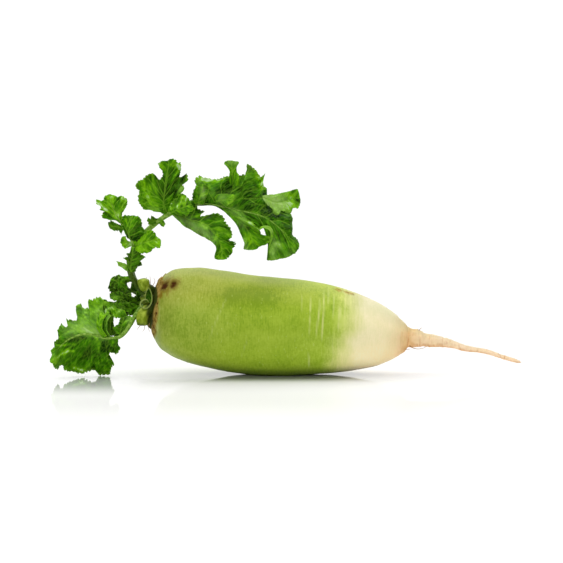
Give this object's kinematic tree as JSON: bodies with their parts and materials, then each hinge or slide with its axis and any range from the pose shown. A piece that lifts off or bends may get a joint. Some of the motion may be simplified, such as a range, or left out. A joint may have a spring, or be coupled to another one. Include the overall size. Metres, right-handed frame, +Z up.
{
  "type": "green radish",
  "caption": "Plump green radish fading to cream at its thin tap root, lying on its belly, with lobed ruffled leaves and old stalk stubs on its crown.",
  "frame": {"origin": "on the small flat spot of the belly, under the root's weight", "axes": "+Z up, +X from the leafy crown to the tip of the tap root, and the nearer leaves lie towards -Y"},
  "size_m": [0.3292, 0.0694, 0.1511],
  "materials": {
    "radish_skin": "smooth skin with a soft sheen, green at the crown and cream at the neck",
    "leaf_green": "thin ruffled leaf, satin above and paler below",
    "stub_green": "fresh stalk, yellow green"
  },
  "bodies": {
    "root": {"root": "radish_skin", "leaf_arching": "leaf_green", "leaf_upright": "leaf_green", "leaf_inner": "leaf_green", "leaf_drooping": "leaf_green", "stalk_stub_upper": "stub_green", "stalk_stub_curled": "stub_green", "stalk_stub_lower": "stub_green"}
  },
  "joints": []
}
